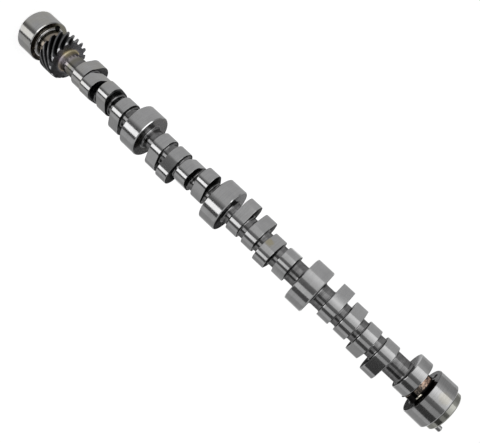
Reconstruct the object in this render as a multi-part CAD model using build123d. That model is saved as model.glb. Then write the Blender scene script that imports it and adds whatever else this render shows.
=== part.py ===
from build123d import *

import os
from math import acos, asin, atan, cos, degrees, pi, radians, sin, tan

# Roller camshaft of an overhead-valve V8: one piece of ground steel with five bearing journals,
# a lobe for every valve, an eccentric for the fuel pump and a helical gear for the distributor,
# and the dowel that is pressed into its front face to carry the timing sprocket.
#
# Units are millimetres and degrees. The origin is the centre of the flat rear end face, +Z runs
# along the shaft to the timing end, and +X points from the axis to the dowel. Angles about the
# axis are counter-clockwise seen from the timing end, from +X. The shaft turns clockwise there.

# ---- engine layout
bore_spacing = 111.76  # 4.400 in from one cylinder to the next in a bank
bank_stagger = 19.9  # the odd bank of cylinders sits this much further forward
intake_lobe_offset = 17.65  # from the middle of a cylinder to its intake lobe
exhaust_lobe_offset = 22.05  # from the middle of a cylinder to its exhaust lobe
lifter_bank_angle = 82.0  # between the two rows of lifters
firing_order = (1, 8, 4, 3, 6, 5, 7, 2)
vertical_angle = -90.0  # the side of the shaft that is uppermost as cylinder 1 fires

# ---- lobes
lobe_width = 13.1
intake_base_radius = 14.8
intake_lift = 8.9
exhaust_base_radius = 14.4
exhaust_lift = 9.2
nose_radius = 12.2
flank_radius = 200.0
intake_centreline = 106.0  # crank degrees from top dead centre to full intake lift
lobe_separation = 113.25  # cam degrees between the two noses of a cylinder

# ---- journals
journal_radius = 23.73  # 1.8685 in diameter
middle_journal_width = 19.5  # second, centre and fourth journals
front_journal_width = 19.0
front_journal_reach = 28.9  # its middle, beyond two bore spacings from the centre journal
rear_journal_width = 20.2
rear_journal_reach = 46.18
journal_chamfer = 0.8

# ---- shaft between the shoulders
shaft_radius = 11.5
journal_slope = 2.0  # sloped corner where the shaft meets a journal

# ---- timing end
hub_radius = 19.95
hub_length = 6.4
hub_chamfer = 1.0
relief_width = 1.2  # wheel relief between the front journal and the hub
relief_depth = 0.45
bolt_circle_radius = 14.0
bolt_count = 3
tapping_radius = 3.3  # tapping size for 5/16-18, without the thread
tapped_depth = 18.0
drill_point_angle = 118.0
dowel_radius = 2.78
dowel_circle_radius = 15.4
dowel_hole_depth = 12.0
dowel_stand_out = 8.9
dowel_chamfer = 0.6

# ---- lathe centres in both end faces
centre_mouth_radius = 5.0
centre_pilot_radius = 2.0
centre_pilot_depth = 7.0
centre_angle = 60.0

# ---- eccentric that works the fuel pump
eccentric_radius = 19.24
eccentric_throw = 4.1
eccentric_width = 11.7
eccentric_reach = 5.4  # its middle, beyond two bore spacings from the centre journal
eccentric_angle = 154.5
pump_neck_radius = 14.1  # the shaft between the eccentric and the front journal

# ---- distributor drive gear, right-hand helical teeth cut in the shaft
gear_teeth = 13
gear_lead = 87.4
gear_pitch_radius = 21.5
gear_addendum = 1.9
gear_dedendum = 2.6
gear_width = 18.4
gear_reach = 13.48  # its middle, beyond two bore spacings from the centre journal
gear_angle = -13.83  # the middle of one tooth, half way along the gear
gear_end_drop = 1.4  # the teeth are turned down by this at both ends
gear_end_length = 1.3
hob_overrun = 0.3  # the tooth flanks run on this far past the tips, and the blank trims them
normal_pressure_angle = 20.0
gear_neck_radius = 16.0  # the shaft between the rear journal and the gear
gear_neck_slope = 1.2
gear_root_fillet = 1.8  # rounded root between the gear's front face and the shaft

# ---- sizes and stations that follow from them
gear_tip_radius = gear_pitch_radius + gear_addendum
gear_root_radius = gear_pitch_radius - gear_dedendum
end_bearing = 2 * bore_spacing
centre_z = end_bearing + rear_journal_reach + rear_journal_width / 2
front_journal_z = centre_z + end_bearing + front_journal_reach
front_shoulder_z = front_journal_z + front_journal_width / 2
front_face_z = front_shoulder_z + hub_length
eccentric_z = centre_z + end_bearing + eccentric_reach
gear_z = centre_z - end_bearing - gear_reach

crank_cycle = 720
firing_step = crank_cycle / len(firing_order)
middle_pair = (len(firing_order) // 2 - 1) / 2  # the pairs of cylinders count from 0 at the front


def collar(middle_z, width, radius):
    """A plain turned collar."""
    return Pos(0, 0, middle_z) * Cylinder(radius, width)


def journal(middle_z, width):
    """A bearing journal with both of its rims chamfered."""
    blank = collar(middle_z, width, journal_radius)
    return chamfer(blank.edges().filter_by(GeomType.CIRCLE), journal_chamfer)


def sloped_corner(face_z, facing, radius, slope):
    """The cone that runs from a shoulder down to the shaft, facing +1 forward or -1 back."""
    cone = Pos(0, 0, slope / 2) * Cone(radius + slope, radius, slope)
    return Pos(0, 0, face_z) * (cone if facing > 0 else Rot(180, 0, 0) * cone)


def root_fillet(face_z, radius, fillet_radius):
    """The rounded root of the shaft on a shoulder that faces forward."""
    with BuildSketch(Plane.XZ) as half:
        with BuildLine():
            foot = Line((0, 0), (radius + fillet_radius, 0))
            curve = RadiusArc(foot @ 1, (radius, fillet_radius), fillet_radius)
            Polyline(curve @ 1, (0, fillet_radius), foot @ 0)
        make_face()
    return Pos(0, 0, face_z) * revolve(half.sketch, Axis.Z)


def lobe_outline(base_radius, lift):
    """Outline with its nose on +X: base circle, flank and nose, each tangent to the next."""
    nose_centre = base_radius + lift - nose_radius
    to_base = flank_radius - base_radius
    to_nose = flank_radius - nose_radius
    across = (to_base**2 + nose_centre**2 - to_nose**2) / (2 * to_base * nose_centre)
    base_turn = degrees(acos(across))
    nose_turn = degrees(asin(to_base * sin(radians(base_turn)) / to_nose))
    flank_turn = 180 - base_turn - nose_turn
    with BuildSketch() as outline:
        with BuildLine():
            base = JernArc((-base_radius, 0), (0, 1), base_radius, -base_turn)
            flank = JernArc(base @ 1, base % 1, flank_radius, -flank_turn)
            JernArc(flank @ 1, flank % 1, nose_radius, -nose_turn)
            mirror(about=Plane.XZ)
        make_face()
    return outline.sketch


def lobe_angle(cylinder, crank_angle):
    """Where the nose points, for a lift that peaks at this crank angle after firing."""
    side = -1 if cylinder % 2 else 1
    cam_turn = (firing_order.index(cylinder) * firing_step + crank_angle) / 2
    return vertical_angle + side * lifter_bank_angle / 2 + cam_turn


def lobe_middle(cylinder, offset):
    """Z of a lobe this far from its cylinder, forward in every other pair from the front."""
    pair = (cylinder - 1) // 2
    bank = 1 if cylinder % 2 else -1
    forward = 1 if pair % 2 == 0 else -1
    cylinder_z = centre_z + (middle_pair - pair) * bore_spacing + bank * bank_stagger / 2
    return cylinder_z + forward * offset


def lobes():
    """Every lobe, as where its middle is along the shaft and its solid."""
    intake_peak = crank_cycle / 2 + intake_centreline
    exhaust_peak = intake_peak - 2 * lobe_separation
    intake = lobe_outline(intake_base_radius, intake_lift)
    exhaust = lobe_outline(exhaust_base_radius, exhaust_lift)
    kinds = (
        (intake, -intake_lobe_offset, intake_peak),
        (exhaust, exhaust_lobe_offset, exhaust_peak),
    )
    made = []
    for cylinder in firing_order:
        for outline, offset, peak in kinds:
            middle = lobe_middle(cylinder, offset)
            turned = Rot(0, 0, lobe_angle(cylinder, peak)) * outline
            blank = extrude(turned, lobe_width / 2, both=True)
            made.append((middle, Pos(0, 0, middle) * blank))
    return made


def eccentric():
    """The round disc, off the axis, that works the fuel pump's push rod."""
    off_axis = Rot(0, 0, eccentric_angle) * Pos(eccentric_throw, 0, 0)
    return off_axis * collar(eccentric_z, eccentric_width, eccentric_radius)


def tooth_half_angle(radius):
    """Half the width of an involute tooth at this radius, as an angle about the axis.

    Inside the base circle, where the involute starts, the flank runs straight in.
    """
    helix = atan(2 * pi * gear_pitch_radius / gear_lead)
    pressure = atan(tan(radians(normal_pressure_angle)) / cos(helix))
    base_circle_radius = gear_pitch_radius * cos(pressure)
    at_radius = acos(base_circle_radius / max(radius, base_circle_radius))
    opened = (tan(pressure) - pressure) - (tan(at_radius) - at_radius)
    quarter_pitch = 360 / gear_teeth / 4
    return quarter_pitch + degrees(opened)


def gear_outline():
    """The gear's section across the shaft, each flank an arc through three involute points."""
    tooth_pitch = 360 / gear_teeth
    outer_radius = gear_tip_radius + hob_overrun
    waist_radius = (gear_root_radius + outer_radius) / 2
    radii = (gear_root_radius, waist_radius, outer_radius)
    half_angles = [tooth_half_angle(radius) for radius in radii]

    def point(radius, angle):
        return Vector(radius, 0).rotate(Axis.Z, angle)

    with BuildSketch() as outline:
        with BuildLine():
            for tooth in range(gear_teeth):
                middle = tooth * tooth_pitch
                rising = [point(r, middle - half) for r, half in zip(radii, half_angles)]
                falling = [point(r, middle + half) for r, half in zip(radii, half_angles)]
                gap = point(gear_root_radius, middle + tooth_pitch / 2)
                following = point(gear_root_radius, middle + tooth_pitch - half_angles[0])
                ThreePointArc(*rising)
                ThreePointArc(rising[2], point(outer_radius, middle), falling[2])
                ThreePointArc(*reversed(falling))
                ThreePointArc(falling[0], gap, following)
        make_face()
    return outline.sketch


def helical_gear():
    """Twisted teeth in a blank that is turned down to a cone at both ends."""
    twist = 360 * gear_width / gear_lead
    section = Rot(0, 0, gear_angle - twist / 2) * gear_outline()
    teeth = Solid.extrude_linear_with_rotation(
        section.face(), (0, 0, 0), (0, 0, gear_width), twist
    )
    end_radius = gear_tip_radius - gear_end_drop
    with BuildSketch(Plane.XZ) as half:
        Polygon(
            (0, 0),
            (end_radius, 0),
            (gear_tip_radius, gear_end_length),
            (gear_tip_radius, gear_width - gear_end_length),
            (end_radius, gear_width),
            (0, gear_width),
            align=None,
        )
    blank = revolve(half.sketch, Axis.Z)
    return Pos(0, 0, gear_z - gear_width / 2) * (teeth & blank)


def necks(shoulders):
    """The shaft between each collar and the next, with its sloped corners.

    A shoulder is the middle and the width of a collar, and its slope or nothing.
    """
    made = []
    ordered = sorted(shoulders)
    for (rear_z, rear_width, rear_slope), (z, width, slope) in zip(ordered, ordered[1:]):
        low, high = rear_z + rear_width / 2, z - width / 2
        radius = shaft_radius
        if z == gear_z:
            radius = gear_neck_radius
        if rear_z == eccentric_z:
            radius = pump_neck_radius
        made.append(collar((low + high) / 2, high - low, radius))
        if rear_slope:
            made.append(sloped_corner(low, 1, radius, rear_slope))
        if slope:
            made.append(sloped_corner(high, -1, radius, slope))
    return made


def hub():
    """The stepped nose that the sprocket sits against, with a wheel relief behind it."""
    land = hub_length - relief_width
    nose = collar(front_face_z - land / 2, land, hub_radius)
    nose = chamfer(nose.edges().group_by(Axis.Z)[-1], hub_chamfer)
    relief = collar(front_shoulder_z + relief_width / 2, relief_width, hub_radius - relief_depth)
    return [nose, relief]


def drilled_hole(radius, depth):
    """A drilled hole down from z = 0, with the cone of the drill's point at its end."""
    point = radius / tan(radians(drill_point_angle / 2))
    with BuildSketch(Plane.XZ) as half:
        Polygon((0, 0), (radius, 0), (radius, -depth), (0, -depth - point), align=None)
    return revolve(half.sketch, Axis.Z)


def lathe_centre():
    """A lathe centre down from z = 0: a cone with a small pilot hole below it."""
    cone = (centre_mouth_radius - centre_pilot_radius) / tan(radians(centre_angle / 2))
    with BuildSketch(Plane.XZ) as half:
        Polygon(
            (0, 0),
            (centre_mouth_radius, 0),
            (centre_pilot_radius, -cone),
            (centre_pilot_radius, -cone - centre_pilot_depth),
            (0, -cone - centre_pilot_depth),
            align=None,
        )
    return revolve(half.sketch, Axis.Z)


def end_face_holes():
    """What is drilled into the front face, and the lathe centre of the rear face."""
    front = Pos(0, 0, front_face_z)
    first_hole = 180 / bolt_count
    tapped = [
        front * place * drilled_hole(tapping_radius, tapped_depth)
        for place in PolarLocations(bolt_circle_radius, bolt_count, first_hole)
    ]
    seat = front * Pos(dowel_circle_radius, 0, 0) * drilled_hole(dowel_radius, dowel_hole_depth)
    return tapped + [seat, front * lathe_centre(), Rot(180, 0, 0) * lathe_centre()]


def camshaft():
    """The one-piece shaft: collars, lobes and gear, with the turned necks between them."""
    journals = [
        (rear_journal_width / 2, rear_journal_width, journal_slope),
        (front_journal_z, front_journal_width, journal_slope),
    ]
    for step in (-1, 0, 1):
        middle = centre_z + step * bore_spacing
        journals.append((middle, middle_journal_width, journal_slope))
    solids = [journal(middle, width) for middle, width, _ in journals]
    shoulders = journals + [
        (eccentric_z, eccentric_width, 0),
        (gear_z, gear_width, gear_neck_slope),
    ]
    for middle, lobe in lobes():
        solids.append(lobe)
        shoulders.append((middle, lobe_width, 0))
    solids += [eccentric(), helical_gear()]
    solids += necks(shoulders)
    solids.append(root_fillet(gear_z + gear_width / 2, shaft_radius, gear_root_fillet))
    solids += hub()
    return solids[0].fuse(*solids[1:]).cut(*end_face_holes())


def timing_dowel_pin():
    """The timing dowel, pressed to the full depth of its own-size hole."""
    length = dowel_hole_depth + dowel_stand_out
    middle = front_face_z + dowel_stand_out - length / 2
    pin = Pos(dowel_circle_radius, 0, 0) * collar(middle, length, dowel_radius)
    return chamfer(pin.edges().filter_by(GeomType.CIRCLE), dowel_chamfer)


os.makedirs("parts", exist_ok=True)
for make in (camshaft, timing_dowel_pin):
    export_step(make(), f"parts/{make.__name__}.step")
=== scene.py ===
"""The looks of an engine camshaft and its timing dowel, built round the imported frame.

Sizes are kept in metres, as Blender does, and are written here in millimetres and degrees.
+Z runs along the shaft to the timing end, and +X points from the axis to the dowel.
"""

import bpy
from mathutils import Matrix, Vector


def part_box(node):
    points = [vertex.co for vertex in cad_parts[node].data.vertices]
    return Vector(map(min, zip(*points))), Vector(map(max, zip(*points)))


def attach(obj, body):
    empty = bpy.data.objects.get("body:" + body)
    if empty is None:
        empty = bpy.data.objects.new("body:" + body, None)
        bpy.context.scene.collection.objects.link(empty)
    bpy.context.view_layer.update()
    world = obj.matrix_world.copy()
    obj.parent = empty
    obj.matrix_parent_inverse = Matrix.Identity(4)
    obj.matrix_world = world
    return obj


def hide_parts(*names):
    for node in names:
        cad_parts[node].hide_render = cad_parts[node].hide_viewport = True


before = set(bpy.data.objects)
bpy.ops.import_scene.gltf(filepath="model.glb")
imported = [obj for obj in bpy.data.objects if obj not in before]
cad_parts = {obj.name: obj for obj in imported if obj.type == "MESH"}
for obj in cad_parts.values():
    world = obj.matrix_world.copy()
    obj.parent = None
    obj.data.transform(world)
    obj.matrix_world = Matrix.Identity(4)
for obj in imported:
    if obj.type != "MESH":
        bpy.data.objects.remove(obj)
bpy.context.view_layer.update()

from collections import namedtuple
from functools import partial
from math import acos, atan, cos, pi, radians, sin, tan

import bpy
from mathutils import Matrix, Vector

bl_info = {
    "name": "Engine camshaft",
    "version": (1, 0, 0),
    "blender": (4, 5, 0),
    "location": "3D View > Sidebar > Camshaft",
    "description": "Builds a ground steel camshaft with its lobes, gear and timing dowel",
    "category": "Add Mesh",
}

MM = 0.001
NO_NOSE = MM / 1000  # a ring whose nose arc is nearer to the axis than this is round
FIRING_ORDER = (1, 8, 4, 3, 6, 5, 7, 2)
CRANK_CYCLE = radians(720)
FULL_TURN = radians(360)
GROUND, SHOULDER, NECK, GEAR, FACE = range(5)
KEPT = ("turn", "size", "nose", "nose_at", "set_in")


def length(description, millimetres):
    """An entry for a length, whose default is given in millimetres."""
    return bpy.props.FloatProperty(
        description=description,
        default=millimetres * MM,
        min=0,
        precision=5,
        subtype="DISTANCE",
        unit="LENGTH",
    )


def angle(description, degrees_of_turn):
    """An entry for an angle, whose default is given in degrees."""
    return bpy.props.FloatProperty(
        description=description,
        default=radians(degrees_of_turn),
        subtype="ANGLE",
        unit="ROTATION",
    )


def colour(description, rgb):
    """An entry for a linear colour."""
    return bpy.props.FloatVectorProperty(
        description=description, default=rgb, min=0, max=1, subtype="COLOR", size=3
    )


def count(description, number):
    """An entry for a whole number."""
    return bpy.props.IntProperty(description=description, default=number, min=1)


class ShaftSizes(bpy.types.PropertyGroup):
    """The sizes of the shaft between and under its lobes."""

    bore_spacing: length("From one cylinder to the next in a bank", 111.76)
    journal_radius: length("Radius of all five bearing journals", 23.73)
    journal_width: length("Width of the three inner journals", 19.5)
    front_width: length("Width of the front journal", 19.0)
    rear_width: length("Width of the rear journal", 20.2)
    front_reach: length("Middle of the front journal, past two bore spacings", 28.9)
    rear_reach: length("Middle of the rear journal, past two bore spacings", 46.18)
    journal_chamfer: length("Chamfer on both rims of a journal", 0.8)
    journal_fillet: length("Rounded root where the shaft meets a journal", 2.3)
    shaft_radius: length("Radius of the turned necks", 11.5)
    pump_neck_radius: length("Neck behind the front journal", 14.1)
    hub_radius: length("Radius of the stepped nose", 19.95)
    hub_length: length("From the front journal to the front face", 6.4)
    hub_chamfer: length("Chamfer on the front rim of the hub", 1.0)
    relief_width: length("Wheel relief behind the hub", 1.2)
    relief_depth: length("Depth of the wheel relief", 0.45)
    centre_mouth: length("Mouth radius of the lathe centres", 5.0)
    centre_pilot: length("Pilot radius of the lathe centres", 2.0)
    centre_depth: length("Depth of the pilot below the cone", 7.0)
    centre_angle: angle("Included angle of the lathe centres", 60)


class LobeSizes(bpy.types.PropertyGroup):
    """The rule that every valve lobe is ground to, and the pump's eccentric."""

    width: length("Width of a lobe along the shaft", 13.1)
    intake_base: length("Base circle of the intake lobes", 14.8)
    intake_lift: length("Rise of the intake lobes", 8.9)
    exhaust_base: length("Base circle of the exhaust lobes", 14.4)
    exhaust_lift: length("Rise of the exhaust lobes", 9.2)
    nose_radius: length("Radius of the arc over the nose", 12.2)
    flank_radius: length("Radius of the arc from base circle to nose", 200)
    edge_break: length("Rounding of the lobes' edges", 0.4)
    fillet: length("Rounded root where the shaft meets a lobe", 1.5)
    bank_stagger: length("How far one bank sits ahead of the other", 19.9)
    intake_offset: length("From a cylinder's middle to its intake lobe", 17.65)
    exhaust_offset: length("From a cylinder's middle to its exhaust lobe", 22.05)
    bank_angle: angle("Between the two rows of lifters", 82)
    upper_side: angle("The side that is uppermost as cylinder 1 fires", -90)
    intake_centreline: angle("Crank angle of full intake lift", 106)
    separation: angle("Between the two noses of a cylinder", 113.25)
    pump_radius: length("Radius of the fuel pump's eccentric", 19.24)
    pump_throw: length("From the axis to the eccentric's centre", 4.1)
    pump_width: length("Width of the eccentric along the shaft", 11.7)
    pump_reach: length("Middle of the eccentric, past two bore spacings", 5.4)
    pump_angle: angle("Where the eccentric stands out furthest", 154.5)


class GearSizes(bpy.types.PropertyGroup):
    """The helical gear that drives the distributor."""

    teeth: count("Number of teeth", 13)
    lead: length("Advance of a tooth in one full turn", 87.4)
    pitch_radius: length("Radius of the pitch circle", 21.5)
    addendum: length("Tooth above the pitch circle", 1.9)
    dedendum: length("Tooth below the pitch circle", 2.6)
    width: length("Width along the shaft", 18.4)
    reach: length("Middle of the gear, past two bore spacings", 13.48)
    tooth_angle: angle("Middle of one tooth, half way along", -13.83)
    end_drop: length("How far the teeth are turned down at both ends", 1.4)
    end_length: length("Length of the turned-down ends", 1.3)
    pressure_angle: angle("Normal pressure angle", 20)
    neck_radius: length("Neck between the rear journal and the gear", 16)
    rear_fillet: length("Rounded root behind the gear", 1.4)
    front_fillet: length("Rounded root ahead of the gear", 1.8)


class FrontSizes(bpy.types.PropertyGroup):
    """The drilled front face and its dowel."""

    bolt_circle: length("Circle of the tapped holes", 14)
    bolts: count("Number of tapped holes", 3)
    tapping_radius: length("Crest radius of the inside thread", 3.3)
    thread_depth: length("Height of a thread's ridge", 0.55)
    thread_pitch: length("From one ridge to the next", 1.411)
    tapped_depth: length("Depth of the tapped holes", 18)
    countersink: length("Width of the countersink round a hole", 0.9)
    dowel_radius: length("Radius of the timing dowel", 2.78)
    dowel_circle: length("Axis of the shaft to the dowel", 15.4)
    dowel_seat: length("How deep the dowel is pressed in", 12)
    dowel_chamfer: length("Chamfer on both ends of the dowel", 0.6)


class SteelColours(bpy.types.PropertyGroup):
    """The colours of the finishes."""

    ground: colour("Journals, lobes, eccentric and hub", (0.60, 0.60, 0.602))
    hub: colour("The stepped nose", (0.51, 0.51, 0.465))
    shoulder: colour("Flat sides of the journals and lobes", (0.34, 0.34, 0.345))
    neck: colour("The shaft between the shoulders", (0.29, 0.288, 0.29))
    gear: colour("Flanks and roots of the gear", (0.045, 0.045, 0.048))
    land: colour("Tops of the teeth", (0.24, 0.24, 0.245))
    face: colour("The end faces", (0.52, 0.52, 0.52))
    straw: colour("Light heat tint", (0.62, 0.55, 0.36))
    old_straw: colour("Rear journal's front side", (0.42, 0.40, 0.33))
    olive: colour("Heat tint beyond the straw", (0.34, 0.335, 0.28))
    brown: colour("Deeper heat tint", (0.33, 0.28, 0.23))
    violet: colour("Deepest heat tint", (0.34, 0.31, 0.33))
    copper: colour("Scorched neck behind the front journal", (0.50, 0.33, 0.25))
    # scale is also the colour of a painted dark reflection by the gear
    scale: colour("Black heat-treatment scale", (0.012, 0.011, 0.011))
    # painted top light: bare steel beyond the scale, as lit from above, on the front journal's rear
    # face and fillet
    clean: colour("Bright steel above the scale", (1, 1, 1))
    # bare steel where the scale is worn through, bright and placed as a painted highlight
    rubbed: colour("Where the scale is worn through", (0.9, 0.85, 0.72))
    oil: colour("Dried oil", (0.58, 0.53, 0.38))


class StudioSettings(bpy.types.PropertyGroup):
    """The camera, the floor and the lights."""

    distance: length("From the shaft's axis to the camera", 502.52)
    height: length("The camera's height above the rear face", 408.87)
    direction: angle("Where the camera is round the axis, from the dowel's side", -115.49)
    pitch: angle("How far the camera looks down", 11.883)
    heading: angle("How far the camera looks past the axis", -0.0733)
    roll: angle("Turn of the camera about its own view", 133.065)
    lens: bpy.props.FloatProperty(description="Focal length", default=40.545, unit="CAMERA")
    floor_size: length("Radius of the floor", 4000)
    card_distance: length("From the shaft's axis to the cards", 3000)


# ---- sections of the shaft

# One ring of points across the shaft. centre is where its circle is centred; nose is how far the
# centre of a lobe's nose arc lies from the axis, in the direction nose_at, and 0 for what is round.
# set_in is taken off all round, teeth marks a ring of gear teeth, and finish is the finish of the
# strip from this ring to the next.
Ring = namedtuple(
    "Ring", "z size finish centre nose nose_at set_in teeth", defaults=((0, 0), 0, 0, 0, False)
)

# What stands out of the shaft between two necks, and the rounded roots on both of its sides.
Collar = namedtuple("Collar", "low high rings rear_fillet front_fillet")

POINTS_PER_TOOTH = 12
ROWS_ALONG_GEAR = 14
FILLET_STEPS = 4
HOLD = 0.25 * MM  # a strip beside a rounding, which keeps the shading of the flat next to it flat


def quarter_round(size, steps):
    """Places along a rounding, as distances in from the two faces that it joins."""
    turns = [step / steps * pi / 2 for step in range(steps + 1)]
    return [(size * (1 - cos(turn)), size * (1 - sin(turn))) for turn in turns]


def collar_rings(low, high, size, corner, steps=1, **shape):
    """The outside of a collar, with both of its edges broken by corner."""
    places = quarter_round(corner, steps)
    if steps > 1:
        places.append((corner + HOLD, 0))
    rings = [Ring(low + rise, size, GROUND, set_in=inset, **shape) for rise, inset in places]
    places.reverse()
    rings += [Ring(high - rise, size, GROUND, set_in=inset, **shape) for rise, inset in places]
    rings[-1] = rings[-1]._replace(finish=SHOULDER)
    return rings


def fillet_rings(face_z, facing, neck, fillet):
    """The rounded root between a shoulder at face_z and a neck, in order along +Z."""
    places = [(0, fillet + HOLD), *quarter_round(fillet, FILLET_STEPS), (fillet + HOLD, 0)]
    rings = [Ring(face_z + facing * along, neck + rise, NECK) for along, rise in places]
    if facing < 0:
        rings.reverse()
    shoulder = 0 if facing > 0 else -1
    rings[shoulder] = rings[shoulder]._replace(finish=SHOULDER)
    return rings


def lobe_places(shaft, lobe, centre_z):
    """The middle, base radius, lift and nose angle of every valve lobe."""
    places = []
    intake_peak = CRANK_CYCLE / 2 + lobe.intake_centreline
    exhaust_peak = intake_peak - 2 * lobe.separation
    kinds = (
        (lobe.intake_base, lobe.intake_lift, -lobe.intake_offset, intake_peak),
        (lobe.exhaust_base, lobe.exhaust_lift, lobe.exhaust_offset, exhaust_peak),
    )
    middle_pair = (len(FIRING_ORDER) // 2 - 1) / 2
    for turn, cylinder in enumerate(FIRING_ORDER):
        odd = cylinder % 2
        pair = (cylinder - 1) // 2
        forward = -1 if pair % 2 else 1
        fires = turn * CRANK_CYCLE / len(FIRING_ORDER)
        cylinder_z = centre_z + (middle_pair - pair) * shaft.bore_spacing
        cylinder_z += (lobe.bank_stagger if odd else -lobe.bank_stagger) / 2
        side = (-lobe.bank_angle if odd else lobe.bank_angle) / 2
        for base, lift, offset, peak in kinds:
            nose_at = lobe.upper_side + side + (fires + peak) / 2
            places.append((cylinder_z + forward * offset, base, lift, nose_at))
    return places


def tooth_points(gear):
    """One tooth and half a gap on either side, as radii and angles from the tooth's middle."""
    helix = atan(FULL_TURN * gear.pitch_radius / gear.lead)
    pressure = atan(tan(gear.pressure_angle) / cos(helix))
    base_circle = gear.pitch_radius * cos(pressure)
    tip, root = gear.pitch_radius + gear.addendum, gear.pitch_radius - gear.dedendum
    pitch = FULL_TURN / gear.teeth

    def half_angle(radius):
        at_radius = acos(base_circle / max(radius, base_circle))
        return pitch / 4 + (tan(pressure) - pressure) - (tan(at_radius) - at_radius)

    rise = tip - root
    foot = half_angle(root) + 0.2 * (pitch / 2 - half_angle(root))
    half = [(root, pitch / 2), (root, foot)]
    half += [(root + share * rise, half_angle(root + share * rise)) for share in (0.1, 0.4, 0.7)]
    half.append((tip, half_angle(tip)))
    return [(r, -turn) for r, turn in half] + [(tip, 0)] + list(reversed(half))[:-1]


def shaft_rings(shaft, lobe, gear):
    """Every ring from the rear centre hole to the front one, and the z of the front face."""
    ends = 2 * shaft.bore_spacing
    centre_z = ends + shaft.rear_reach + shaft.rear_width / 2
    front_z = centre_z + ends + shaft.front_reach
    pump_z = centre_z + ends + lobe.pump_reach
    gear_z = centre_z - ends - gear.reach
    cone = (shaft.centre_mouth - shaft.centre_pilot) / tan(shaft.centre_angle / 2)
    pilot = cone + shaft.centre_depth

    collars = []

    def add_collar(middle, width, rings, *fillets):
        low, high = middle - width / 2, middle + width / 2
        collars.append(Collar(low, high, rings(low, high), *fillets))

    def journal(low, high):
        return collar_rings(low, high, shaft.journal_radius, shaft.journal_chamfer)

    def ground(size, **shape):
        return lambda low, high: collar_rings(low, high, size, lobe.edge_break, steps=2, **shape)

    journals = [(centre_z + step * shaft.bore_spacing, shaft.journal_width) for step in (-1, 0, 1)]
    journals += [(shaft.rear_width / 2, shaft.rear_width), (front_z, shaft.front_width)]
    for middle, width in journals:
        add_collar(middle, width, journal, shaft.journal_fillet, shaft.journal_fillet)
    for middle, base, lift, nose_at in lobe_places(shaft, lobe, centre_z):
        valve = ground(base, nose=base + lift - lobe.nose_radius, nose_at=nose_at)
        add_collar(middle, lobe.width, valve, lobe.fillet, lobe.fillet)
    centre = (lobe.pump_throw * cos(lobe.pump_angle), lobe.pump_throw * sin(lobe.pump_angle))
    pump = ground(lobe.pump_radius, centre=centre)
    add_collar(pump_z, lobe.pump_width, pump, lobe.fillet, lobe.fillet)
    teeth = partial(gear_rings, gear)
    add_collar(gear_z, gear.width, teeth, gear.rear_fillet, gear.front_fillet)
    collars.sort()

    lathe_centre = (
        (pilot, 0),
        (pilot, shaft.centre_pilot),
        (cone, shaft.centre_pilot),
        (0, shaft.centre_mouth),
    )
    made = [Ring(depth, size, FACE) for depth, size in lathe_centre]
    made += collars[0].rings
    for before, after in zip(collars, collars[1:]):
        neck = shaft.shaft_radius
        if after.rings[0].teeth:
            neck = gear.neck_radius
        elif before.rings[0].centre != (0, 0):
            neck = shaft.pump_neck_radius
        made += fillet_rings(before.high, 1, neck, before.front_fillet)
        made += fillet_rings(after.low, -1, neck, after.rear_fillet)
        made += after.rings

    shoulder = front_z + shaft.front_width / 2
    front = shoulder + shaft.hub_length
    relief = shaft.hub_radius - shaft.relief_depth
    made += [
        Ring(shoulder, relief, NECK),
        Ring(shoulder + shaft.relief_width, relief, NECK),
        Ring(shoulder + shaft.relief_width, shaft.hub_radius, GROUND),
        Ring(front - shaft.hub_chamfer, shaft.hub_radius, GROUND),
        Ring(front, shaft.hub_radius - shaft.hub_chamfer, FACE),
    ]
    made += [Ring(front - depth, size, FACE) for depth, size in reversed(lathe_centre)]
    return made, front


def gear_rings(gear, low, high):
    """Rings of teeth along the gear, close together where its ends are turned down."""
    tip = gear.pitch_radius + gear.addendum
    ends = [share * gear.end_length for share in (0, 0.34, 0.67)]
    first, last = low + gear.end_length, high - gear.end_length
    shares = [row / ROWS_ALONG_GEAR for row in range(ROWS_ALONG_GEAR + 1)]
    stations = [low + end for end in ends]
    stations += [first + (last - first) * share for share in shares]
    stations += [high - end for end in reversed(ends)]
    rings = []
    for z in stations:
        into_end = max(first - z, z - last, 0) / gear.end_length
        rings.append(Ring(z, tip - gear.end_drop * into_end, GEAR, teeth=True))
    return rings


def skin(sizes, around):
    """The faces between rows of points, where a row of size 0 is a single point."""
    faces, low = [], 0
    for size, next_size in zip(sizes, sizes[1:]):
        high = low + (around if size else 1)
        for k in range(around):
            after = (k + 1) % around
            if not size:
                faces.append((low, high + after, high + k))
            elif not next_size:
                faces.append((low + k, low + after, high))
            else:
                faces.append((low + k, low + after, high + after, high + k))
        low = high
    return faces


def stand(name, data):
    """Puts a new object with this data in the scene."""
    made = bpy.data.objects.new(name, data)
    bpy.context.scene.collection.objects.link(made)
    return made


def mesh_with_finishes(name, points, faces, finishes):
    """A mesh whose faces carry the numbers of their finishes."""
    mesh = bpy.data.meshes.new(name)
    mesh.from_pydata(points, [], faces)
    mesh.attributes.new("finish", "INT", "FACE").data.foreach_set("value", finishes)
    return mesh


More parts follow.
